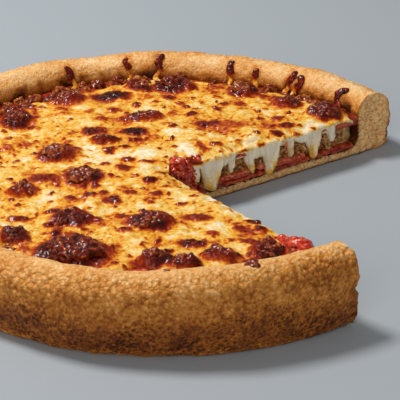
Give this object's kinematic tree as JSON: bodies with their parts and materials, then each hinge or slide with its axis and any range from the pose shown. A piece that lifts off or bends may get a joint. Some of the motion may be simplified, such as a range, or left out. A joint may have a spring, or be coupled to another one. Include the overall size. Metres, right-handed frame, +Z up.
{
  "type": "stuffed pizza",
  "caption": "Deep round stuffed pizza with a slice taken out, showing dough, sauce, sausage, pepperoni and melted cheese at the cut.",
  "frame": {"origin": "centre of the pizza's round base, on the surface it lies on", "axes": "+Z up through the crust's height; +X points out of the gap that the missing slice leaves, whose middle is 8 degrees from +X towards -Y; +Y is across, towards the gap's far cut face"},
  "size_m": [0.2763, 0.2988, 0.0417],
  "materials": {
    "baked_dough": "matt baked dough, golden tan",
    "tomato_sauce": "glossy cooked tomato sauce",
    "ground_sausage": "crumbly cooked sausage meat",
    "browned_sausage": "sausage baked dark, with an oily gloss",
    "baked_cheese": "melted cheese, cream to golden, with a soft gloss",
    "pepperoni": "red cured sausage slice with an oily gloss",
    "tomato": "glossy cooked tomato"
  },
  "bodies": {
    "root": {"cheese": "baked_cheese", "crust": "baked_dough", "pepperoni_lower_far_1": "pepperoni", "pepperoni_lower_far_2": "pepperoni", "pepperoni_lower_near_1": "pepperoni", "pepperoni_lower_near_2": "pepperoni", "pepperoni_upper_far_1": "pepperoni", "pepperoni_upper_far_2": "pepperoni", "pepperoni_upper_far_3": "pepperoni", "pepperoni_upper_near_1": "pepperoni", "pepperoni_upper_near_2": "pepperoni", "pepperoni_upper_near_3": "pepperoni", "sausage_filling": "ground_sausage", "sausage_piece_01": "browned_sausage", "sausage_piece_02": "browned_sausage", "sausage_piece_03": "browned_sausage", "sausage_piece_04": "browned_sausage", "sausage_piece_05": "browned_sausage", "sausage_piece_06": "browned_sausage", "sausage_piece_07": "browned_sausage", "sausage_piece_08": "browned_sausage", "sausage_piece_09": "browned_sausage", "sausage_piece_10": "browned_sausage", "sausage_piece_11": "browned_sausage", "sausage_piece_12": "browned_sausage", "sausage_piece_13": "browned_sausage", "sausage_piece_14": "browned_sausage", "sausage_piece_15": "browned_sausage", "sausage_piece_16": "browned_sausage", "sausage_piece_17": "browned_sausage", "sausage_piece_18": "browned_sausage", "sausage_piece_19": "browned_sausage", "sausage_piece_20": "browned_sausage", "tomato_piece": "tomato", "tomato_sauce": "tomato_sauce"}
  },
  "joints": []
}
